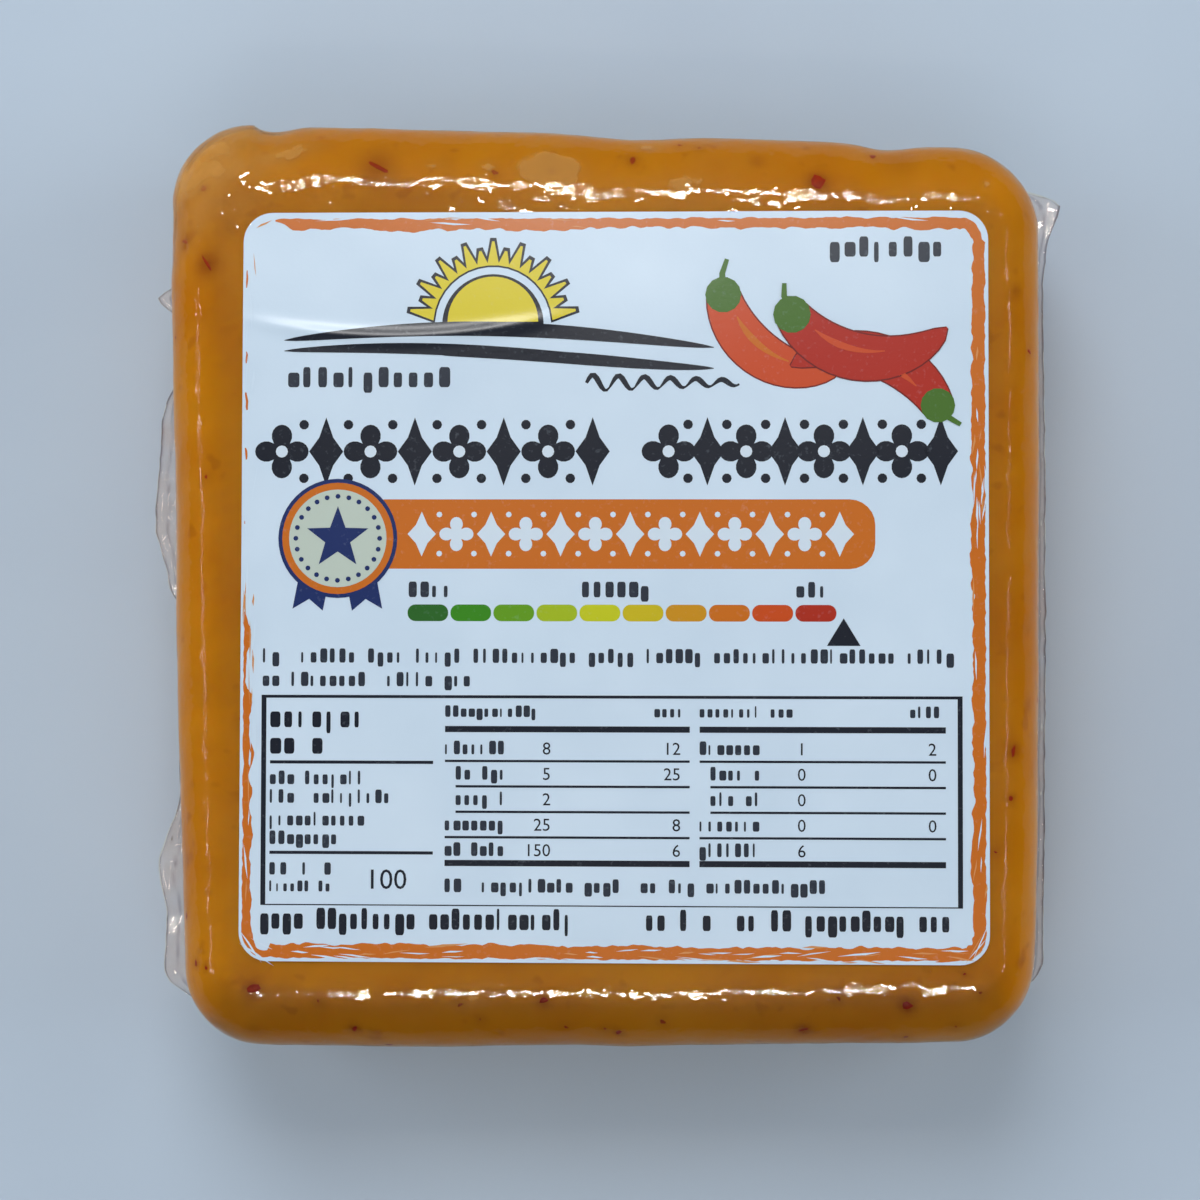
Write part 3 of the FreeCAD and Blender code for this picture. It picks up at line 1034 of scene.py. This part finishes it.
class Print:
    """Flat coloured shapes about the label's middle, in layers that lie on one another."""

    def __init__(self):
        self.mesh = bmesh.new()
        self.ink = self.mesh.loops.layers.float_color.new("ink")
        self.rows, self.rings, self.words = row_maker(), ring_maker(), word_maker()
        self.start = flat_shape("start", [(0, 0), (1, 0), (0, 1)])
        self.finish = ink_material()

    def shape(self, points, colour, layer=1):
        face = self.mesh.faces.new([self.mesh.verts.new((x, y, layer)) for x, y in points])
        face.normal_update()
        if face.normal.z < 0:
            face.normal_flip()
        for loop in face.loops:
            loop[self.ink] = colour

    def take(self, mesh, x, y, colour, layer):
        """Adds each face of a mesh, moved to x and y, and clears the mesh away."""
        for polygon in mesh.polygons:
            corners = [mesh.vertices[i].co for i in polygon.vertices]
            self.shape([(x + c.x, y + c.y) for c in corners], colour, layer)
        bpy.data.meshes.remove(mesh)

    def copies(self, maker, points, place, colour, layer, **sizes):
        """Adds the copies of a shape that a tree makes, drawn about a place."""
        shape = flat_shape("motif", points)
        made = maker.run(self.start, Shape=shape, Finish=self.finish, **sizes)
        bpy.data.objects.remove(shape)
        self.take(made, *place, colour, layer)

    def row(self, points, x, y, count, pitch, colour, layer=1):
        self.copies(self.rows, points, (x, y), colour, layer, Count=count, Pitch=pitch)

    def ring(self, points, x, y, radius, count, first, step, colour, layer=1):
        sizes = {"Radius": float(radius), "Count": count, "First": float(first), "Step": float(step)}
        self.copies(self.rings, points, (x, y), colour, layer, **sizes)

    def line_of_words(self, x0, x1, base, height, colour, seed, pitch=None):
        sizes = {"Length": x1 - x0, "Height": float(height), "Pitch": pitch or height * 0.9, "Seed": seed}
        block = rounded_rectangle(1, 1, 0.22, 3, (0.5, 0.5))
        self.copies(self.words, block, (x0, base), colour, 1, **sizes)

    def bar(self, x0, y0, x1, y1, colour, layer=1, radius=0.0):
        """A bar between two corners, with round corners if radius is given."""
        if radius > 0:
            size = (abs(x1 - x0), abs(y1 - y0))
            centre = ((x0 + x1) / 2, (y0 + y1) / 2)
            round_corner = min(radius, min(size) / 2.001)
            self.shape(rounded_rectangle(*size, round_corner, 6, centre), colour, layer)
        else:
            self.shape([(x0, y0), (x1, y0), (x1, y1), (x0, y1)], colour, layer)

    def ribbon(self, line, widths, colour, layer=1):
        """A smooth stroke along a line of points, with its own width at each."""
        left, right = [], []
        for k, (x, y) in enumerate(line):
            ahead, behind = line[min(k + 1, len(line) - 1)], line[max(k - 1, 0)]
            dx, dy = ahead[0] - behind[0], ahead[1] - behind[1]
            long = math.hypot(dx, dy)
            left.append((x - dy / long * widths[k] / 2, y + dx / long * widths[k] / 2))
            right.append((x + dy / long * widths[k] / 2, y - dx / long * widths[k] / 2))
        for k in range(len(line) - 1):
            self.shape([right[k], right[k + 1], left[k + 1], left[k]], colour, layer)

    def number(self, text, right, base, height, colour, layer=1):
        """Plain figures that end at right."""
        curve = bpy.data.curves.new("figures", "FONT")
        curve.body, curve.size, curve.align_x = text, height / 0.7, "RIGHT"
        curve.resolution_u = 3
        holder = put_in_scene("figures", curve)
        made = bpy.data.meshes.new_from_object(holder)
        bpy.data.objects.remove(holder)
        bpy.data.curves.remove(curve)
        self.take(made, right, base, colour, layer)

    def finished(self):
        """The whole print as one piece, bent to the film."""
        bpy.data.objects.remove(self.start)
        bmesh.ops.triangulate(self.mesh, faces=self.mesh.faces[:])
        bend_to_film(self.mesh, lambda layer: PAPER_OVER + INK_LIFT * layer)
        return drawn_piece("label_print", self.mesh, self.finish)


def polar(corners, x=0.0, y=0.0):
    """Points at (distance, degrees) from x and y."""
    turned = [(distance, facing(degrees)) for distance, degrees in corners]
    return [(x + distance * c, y + distance * s) for distance, (c, s) in turned]


def disc(radius, steps=40, x=0.0, y=0.0):
    return polar([(radius, 360 * k / steps) for k in range(steps)], x, y)


def arc_line(x, y, radius, start, end, steps=14):
    return polar([(radius, start + (end - start) * k / steps) for k in range(steps + 1)], x, y)


def star(outer, inner, tips, first=90.0):
    return polar([((outer, inner)[k % 2], first + 180 * k / tips) for k in range(2 * tips)])


def petals(reach, waist, count, steps=48):
    """A flower with round petals, from its waist out to its reach."""
    swells = [abs(math.cos(math.pi * k * count / steps)) ** 0.8 for k in range(steps)]
    return polar([(waist + (reach - waist) * swell, 360 * k / steps) for k, swell in enumerate(swells)])


def lozenge(half_width, half_height, hollow=0.18):
    """A tall diamond with slightly hollow sides."""
    w, h = half_width, half_height
    mid = 0.5 - hollow / 2
    return [(w, 0), (w * mid, h * mid), (0, h), (-w * mid, h * mid), (-w, 0),
            (-w * mid, -h * mid), (0, -h), (w * mid, -h * mid)]


def border_line(inset, radius, step=0.3):
    """Points and inward directions round the label, clockwise from the middle of its left side."""
    half_w, half_l = LABEL_WIDTH / 2 - inset, LABEL_LENGTH / 2 - inset
    corners = [(-half_w, half_l, 180), (half_w, half_l, 90), (half_w, -half_l, 0), (-half_w, -half_l, -90)]
    line, at = [], (-half_w, 0.0)
    for x, y, start in corners:
        cx, cy = x - math.copysign(radius, x), y - math.copysign(radius, y)
        dx, dy = facing(start)
        arc_start = (cx + radius * dx, cy + radius * dy)
        steps = max(1, round(math.hypot(arc_start[0] - at[0], arc_start[1] - at[1]) / step))
        for k in range(steps):
            t = k / steps
            point = (at[0] + (arc_start[0] - at[0]) * t, at[1] + (arc_start[1] - at[1]) * t)
            line.append((point, (-dx, -dy)))
        turns = max(2, round(math.pi / 2 * radius / step))
        for k in range(turns):
            ux, uy = facing(start - 90 * k / turns)
            line.append(((cx + radius * ux, cy + radius * uy), (-ux, -uy)))
        ux, uy = facing(start - 90)
        at = (cx + radius * ux, cy + radius * uy)
    steps = round(abs(at[1]) / step)
    for k in range(steps + 1):
        line.append(((-half_w, at[1] * (1 - k / steps)), (1.0, 0.0)))
    return line


def brush_stroke(x, y):
    """How far in from the line the brush stroke starts at a point, and how wide it is there."""
    at = Vector((x, y, 0.0))
    start = 0.12 + 0.16 * noise.noise(at / 1.9) + 0.12 * noise.noise(at / 0.6)
    wide = 1.35 + 0.30 * noise.noise(at / 6.0) + 0.25 * noise.noise(at / 1.1)
    if x < 3 - LABEL_WIDTH / 2:
        lower = min(1.0, max(0.0, (2.0 - y) / 22.0))
        start -= 0.05
        wide = 0.05 + 0.85 * lower + (0.8 - 0.3 * lower) * noise.noise(at / 2.3)
    if y > LABEL_LENGTH / 2 - 3:
        start += 0.3
        wide = (wide - 0.25) * min(1.0, max(0.0, (x + 35.1) / 2.2))
    return max(start, 0.02), wide


BARE_STREAKS = 210


def brush_border(sheet):
    """A dry brush stroke round the label, thin and broken down its left side."""
    line = border_line(0.25, 2.7)
    for (a, into_a), (b, into_b) in zip(line, line[1:]):
        start_a, wide_a = brush_stroke(*a)
        start_b, wide_b = brush_stroke(*b)
        if min(wide_a, wide_b) < 0.06:
            continue
        quad = []
        for point, into, depth in (
            (a, into_a, start_a),
            (b, into_b, start_b),
            (b, into_b, start_b + wide_b),
            (a, into_a, start_a + wide_a),
        ):
            quad.append((point[0] + into[0] * depth, point[1] + into[1] * depth))
        sheet.shape(quad, INK_ORANGE, 1)
    draw = random.Random(19)
    for _ in range(BARE_STREAKS):
        (x, y), (ix, iy) = line[draw.randrange(len(line) - 1)]
        # The streaks gather at the foot of the label and along its left side
        if (y > 0 or x > 0) and y > -34 and draw.random() < 0.6:
            continue
        long, wide = draw.uniform(0.6, 2.2), draw.uniform(0.10, 0.26)
        deep, lean = draw.uniform(-0.1, 1.5), draw.uniform(-0.16, 0.16)
        cx, cy = x + ix * deep, y + iy * deep
        ax, ay = -iy + ix * lean, ix + iy * lean
        tip = draw.uniform(-0.1, 0.1)
        sliver = [(-long, 0.0), (-0.3 * long, -wide / 2), (long, tip), (0.2 * long, wide / 2)]
        points = [(cx + ax * u + ix * v, cy + ay * u + iy * v) for u, v in sliver]
        sheet.shape(points, INK_ORANGE_DRY if draw.random() < 0.3 else PAPER_WHITE, 2)


def field_mark(sheet):
    """A half sun over dark furrows, where such a label has its maker's mark."""
    x, y = -12.4, 26.7
    sheet.shape(arc_line(x, y, 5.2, 0, 180, 30), INK_BLACK, 1)
    sheet.shape(arc_line(x, y + 0.3, 4.65, 0, 180, 30), INK_YELLOW, 2)
    for long, first, count in ((2.5, 10, 9), (1.6, 20, 8)):
        ray = [(0, -0.62), (long, -0.12), (long, 0.12), (0, 0.62)]
        rim = [(-0.18, -0.85), (long + 0.35, -0.32), (long + 0.35, 0.32), (-0.18, 0.85)]
        sheet.ring(rim, x, y, 6.1, count, first, 20, INK_BLACK, 1)
        sheet.ring(ray, x, y, 6.1, count, first, 20, INK_YELLOW, 2)
    for k, (left, right, low, rise, thick) in enumerate(
        ((-33.8, 10.2, 24.6, 1.7, 1.5), (-33.8, 3.0, 23.4, 0.9, 1.2), (-18.0, 10.2, 22.9, 0.8, 1.2))
    ):
        line = []
        for j in range(41):
            t = j / 40
            lift = rise * math.sin(math.pi * (0.1 + 0.95 * t + 0.15 * k))
            line.append((left + (right - left) * t, low + lift))
        widths = [max(0.06, thick * math.sin(math.pi * j / 40) ** 0.55) for j in range(41)]
        sheet.ribbon(line, widths, INK_BLACK, 3)
    sheet.line_of_words(-33.4, -16.2, 20.3, 1.5, INK_SOFT_BLACK, 5, pitch=1.55)
    line = [(-2.8 + 15.6 * t / 60, 20.7 + 0.85 * math.sin(t * 0.62) * (1 - t / 90)) for t in range(61)]
    widths = [0.16 + 0.42 * abs(math.sin(t * 0.31 + 0.4)) for t in range(61)]
    sheet.ribbon(line, widths, INK_BLACK, 1)


def pepper_pods(sheet):
    """Three curved pods with green stalks, the last on top."""
    pods = [
        (20.6, 31.4, 9.6, 190, 286, 4.6, INK_RED_LIGHT),
        (23.6, 13.4, 10.6, 28, 122, 4.4, INK_RED),
        (26.6, 33.4, 10.2, 214, 316, 4.8, INK_RED),
    ]
    for k, (x, y, radius, start, end, wide, colour) in enumerate(pods):
        layer = 1 + 2 * k
        line = arc_line(x, y, radius, start, end, 18)
        widths = [wide * math.sin(math.pi * (0.2 + 0.8 * j / 18)) ** 0.6 for j in range(19)]
        widths[-1] = 0.05
        sheet.ribbon(line, [w + 0.3 for w in widths], INK_RED_DARK, layer)
        sheet.ribbon(line, widths, colour, layer + 1)
        bright = INK_ORANGE if colour == INK_RED_LIGHT else INK_RED_LIGHT
        shine = arc_line(x, y, radius - wide * 0.14, start + 16, start + 62, 8)
        sheet.ribbon(shine, [0.1, 0.4, 0.6, 0.7, 0.65, 0.55, 0.4, 0.25, 0.1], bright, layer + 2)
        cap_x, cap_y = line[0]
        sheet.shape(disc(wide * 0.4, 14, cap_x, cap_y), INK_GREEN, layer + 2)
        back_x, back_y = facing(start - 90)
        stalk = [
            (cap_x, cap_y),
            (cap_x + back_x * 1.8 + 0.2, cap_y + back_y * 1.8 + 0.4),
            (cap_x + back_x * 3.0 + 0.9, cap_y + back_y * 3.0 + 0.7),
        ]
        sheet.ribbon(stalk, [0.8, 0.6, 0.45], INK_GREEN, layer + 2)


def title_band(sheet):
    """A heavy black ornament in two groups, over an orange band with a white one."""
    middle = 13.7
    for first, count, pitch in ((-34.0, 4, 9.1), (5.6, 4, 7.9)):
        sheet.row(petals(2.75, 1.15, 4), first, middle, count, pitch, INK_BLACK, 1)
        sheet.row(disc(0.62, 12), first, middle, count, pitch, INK_WHITE, 2)
        sheet.row(lozenge(1.75, 3.5), first + pitch / 2, middle, count, pitch, INK_BLACK, 1)
        for lift in (-2.75, 2.75):
            dots = (first + pitch / 4, middle + lift, 2 * count - 1, pitch / 2)
            sheet.row(disc(0.5, 10), *dots, INK_BLACK, 1)
    sheet.bar(-26.0, 1.7, 26.6, 8.8, INK_ORANGE, 1, radius=2.6)
    sheet.row(lozenge(1.45, 2.3), -19.6, 5.25, 7, 7.1, INK_WHITE, 2)
    sheet.row(petals(1.75, 0.7, 4), -16.05, 5.25, 6, 7.1, INK_WHITE, 2)
    for lift in (-2.0, 2.0):
        sheet.row(disc(0.3, 8), -17.8, 5.25 + lift, 12, 3.55, INK_WHITE, 2)


def round_seal(sheet):
    x, y = -28.2, 4.8
    for side in (-1, 1):
        tail = [(x + side * 0.6, y - 3), (x + side * 3.8, y - 3), (x + side * 4.6, y - 7.2)]
        tail += [(x + side * 2.9, y - 6.2), (x + side * 1.5, y - 7.4)]
        sheet.shape(tail, INK_NAVY, 2)
    for k, (radius, colour) in enumerate(((6.1, INK_NAVY), (5.7, INK_ORANGE), (5.0, INK_CREAM))):
        sheet.shape(disc(radius, 48, x, y), colour, 3 + k)
    sheet.ring(disc(0.26, 8), x, y, 4.3, 24, 0, 15, INK_NAVY, 6)
    sheet.ring(star(3.3, 1.35, 5, 0.0), x, y, 0.0, 1, 90, 0, INK_NAVY, 6)


def heat_scale(sheet):
    """Ten pills from green to red, with a marker under the last."""
    for x0, x1, seed in ((-20.9, -16.1, 61), (-3.2, 4.7, 62), (18.6, 22.6, 63)):
        sheet.line_of_words(x0, x1, -1.2, 1.15, INK_SOFT_BLACK, seed, pitch=1.2)
    pitch, first = 4.39, -21.0
    for k, colour in enumerate(HEAT_STEPS):
        left = first + k * pitch
        sheet.bar(left, -3.65, left + 4.15, -1.95, srgb(*colour), 1, radius=0.8)
    sheet.shape([(23.4, -3.3), (21.7, -6.1), (25.1, -6.1)], INK_BLACK, 2)


# The panel's two tables: left edge, and each row's amount and share
AMOUNTS = {
    -17.1: (("8", "12"), ("5", "25"), ("2", ""), ("25", "8"), ("150", "6")),
    8.8: (("1", "2"), ("0", "0"), ("0", ""), ("0", "0"), ("6", "")),
}


def facts_table(sheet, start, rows, seed):
    end = start + 24.9
    sheet.line_of_words(start, start + 9.8, -13.4, 0.85, INK_SOFT_BLACK, seed, pitch=0.8)
    sheet.line_of_words(end - 3.6, end, -13.4, 0.85, INK_SOFT_BLACK, seed + 1, pitch=0.8)
    for y in (-14.95, -28.55):
        sheet.bar(start, y, end, y + 0.62, INK_BLACK)
    for k, (amount, share) in enumerate(rows):
        y = -17.2 - 2.58 * k
        indent = 1.1 if 0 < k < 3 else 0.0
        sheet.line_of_words(start + indent, start + 7.0, y, 1.0, INK_SOFT_BLACK, seed + 2 + k, pitch=0.9)
        sheet.number(amount, start + 10.8, y, 1.25, INK_BLACK)
        if share:
            sheet.number(share, end - 0.9, y, 1.25, INK_BLACK)
        if k < len(rows) - 1:
            sheet.bar(start + indent, y - 0.80, end, y - 0.56, INK_BLACK)


def facts_panel(sheet):
    """A ruled panel of facts: blocks for words, plain figures for amounts."""
    left, right, top, base = -35.9, 35.4, -11.2, -32.6
    sheet.bar(left, base, left + 0.5, top, INK_BLACK)
    sheet.bar(right - 0.5, base, right, top, INK_BLACK)
    sheet.bar(left, top - 0.3, right, top, INK_BLACK)
    sheet.bar(left, base, right, base + 0.12, INK_BLACK)
    for y, end, height, seed in (
        (-14.5, -24.0, 1.6, 71),
        (-17.2, -28.6, 1.6, 72),
        (-20.3, -24.6, 1.0, 73),
        (-22.2, -21.2, 1.0, 74),
        (-24.5, -25.0, 1.0, 75),
        (-26.4, -27.2, 1.0, 76),
        (-29.5, -27.8, 1.25, 77),
        (-31.2, -27.8, 0.8, 78),
    ):
        ink = INK_BLACK if height > 1.4 else INK_SOFT_BLACK
        sheet.line_of_words(-35.0, end, y, height, ink, seed)
    for y in (-18.2, -27.4):
        sheet.bar(-35.0, y, -18.3, y + 0.32, INK_BLACK)
    sheet.number("100", -20.9, -30.9, 2.0, INK_BLACK)
    for k, (start, rows) in enumerate(AMOUNTS.items()):
        facts_table(sheet, start, rows, 80 + 10 * k)
    sheet.line_of_words(-17.1, 22.0, -31.2, 1.0, INK_SOFT_BLACK, 99, pitch=0.95)


def label_print():
    sheet = Print()
    brush_border(sheet)
    field_mark(sheet)
    sheet.line_of_words(22.0, 34.8, 33.6, 1.5, INK_SOFT_BLACK, 3, pitch=1.5)
    pepper_pods(sheet)
    title_band(sheet)
    round_seal(sheet)
    heat_scale(sheet)
    sheet.line_of_words(-35.8, 35.6, -7.9, 1.05, INK_SOFT_BLACK, 51, pitch=0.98)
    sheet.line_of_words(-35.8, -13.6, -10.3, 1.05, INK_SOFT_BLACK, 52, pitch=0.98)
    facts_panel(sheet)
    sheet.line_of_words(-35.9, -3.4, -35.0, 1.55, INK_BLACK, 53, pitch=1.15)
    sheet.line_of_words(3.4, 35.4, -35.0, 1.55, INK_BLACK, 54, pitch=1.15)
    return sheet.finished()


label = label_sheet()
printed = label_print()

# ------------------------------------------------------------------ floor, lamps and camera

FLOOR_SIZE = 1500.0
FLOOR_COLOUR = srgb(178, 196, 214)
FLOOR_SHADE = srgb(172, 190, 209)
CAMERA_ABOVE = 300.0  # over the label

# Small lamps in a row at the back and one at the front, which glint in the film: x and length
GLINT_LAMPS = ((-88, 16), (-64, 12), (-38, 22), (-12, 12), (14, 20), (38, 12), (62, 18))
BACK_GLINT_WATTS, FRONT_GLINT_WATTS = 0.017, 0.018  # for each millimetre of length


def add_floor():
    n = Finish("pale_floor")
    colour = n.mix(n.mottle(45.0, 0.3, 0.7), FLOOR_COLOUR, FLOOR_SHADE)
    finish = n.principled({"Base Color": colour, "Roughness": 0.7})
    half = FLOOR_SIZE / 2
    corners = [(-half, -half, 0), (half, -half, 0), (half, half, 0), (-half, half, 0)]
    new_piece("floor", corners, [(0, 1, 2, 3)], finish, smooth=False)


def add_lamp(name, place, aim, size, watts, glints=False):
    """A rectangular lamp, placed and aimed in millimetres: soft light, or glints in the gloss alone."""
    data = bpy.data.lights.new(name, "AREA")
    data.shape = "RECTANGLE"
    data.size, data.size_y = (side * MM for side in size)
    data.energy = watts
    lamp = put_in_scene(name, data)
    lamp.location = Vector(place) * MM
    lamp.rotation_euler = (Vector(aim) - Vector(place)).to_track_quat("-Z", "Y").to_euler()
    lamp.visible_glossy, lamp.visible_diffuse = glints, not glints


def add_world():
    world = bpy.data.worlds.new("studio")
    world.use_nodes = True
    n = Graph(world.node_tree)
    seen = n.add("ShaderNodeLightPath").outputs["Is Camera Ray"]
    light = n.add("ShaderNodeBackground", {"Color": (0.9, 0.95, 1.0, 1.0), "Strength": 0.13})
    wall = n.add("ShaderNodeBackground", {"Color": FLOOR_COLOUR, "Strength": 0.9})
    both = {"Fac": seen, 1: light.outputs["Background"], 2: wall.outputs["Background"]}
    mixed = n.add("ShaderNodeMixShader", both).outputs["Shader"]
    n.add("ShaderNodeOutputWorld", {"Surface": mixed})
    bpy.context.scene.world = world


def add_camera():
    data = bpy.data.cameras.new("camera")
    data.sensor_width, data.lens = 36.0, 88.6
    camera = put_in_scene("camera", data)
    camera.location = Vector((LABEL_X + 9.53, LABEL_Y - 13.51, label_high.z + CAMERA_ABOVE)) * MM
    camera.rotation_euler = [math.radians(turn) for turn in (2.30, 2.07, 0.16)]
    bpy.context.scene.camera = camera


add_floor()
add_world()
add_lamp("key", (-90, 480, 500), (0, 0, 0), (420, 420), 2.6)
add_lamp("fill", (40, -380, 560), (0, 0, 0), (600, 500), 0.95)
add_lamp("left_side", (-430, 40, 200), (0, 0, 10), (300, 400), 0.95)
add_lamp("right_side", (430, 40, 200), (0, 0, 10), (300, 400), 0.9)
for k, (x, long) in enumerate(GLINT_LAMPS):
    back, front = BACK_GLINT_WATTS * long, FRONT_GLINT_WATTS * long
    add_lamp("back_glint_%d" % k, (x, 190, 440), (0, 40, 25), (long, 20), back, glints=True)
    add_lamp("front_glint_%d" % k, (x + 6, -226, 440), (0, -41, 25), (long, 22), front, glints=True)
add_lamp("left_strip", (-430, -40, 254), (-41, -40, 22), (260, 9), 0.2, glints=True)
add_lamp("right_strip", (281, -20, 425), (41, -20, 24), (300, 9), 0.2, glints=True)
add_camera()
bpy.context.scene.view_settings.view_transform = "Standard"

# ------------------------------------------------------------------ what each piece stands for

SLOTS = {
    cheese: "cheese",
    film: "film",
    flecks: "chilli",
    scattered: "chilli",
    left_fin: "film",
    right_fin: "film",
    label: "label_paper",
    printed: "label_print",
}
for piece, slot in SLOTS.items():
    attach(piece, "root")
    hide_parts("label" if piece in (label, printed) else "film_pack")
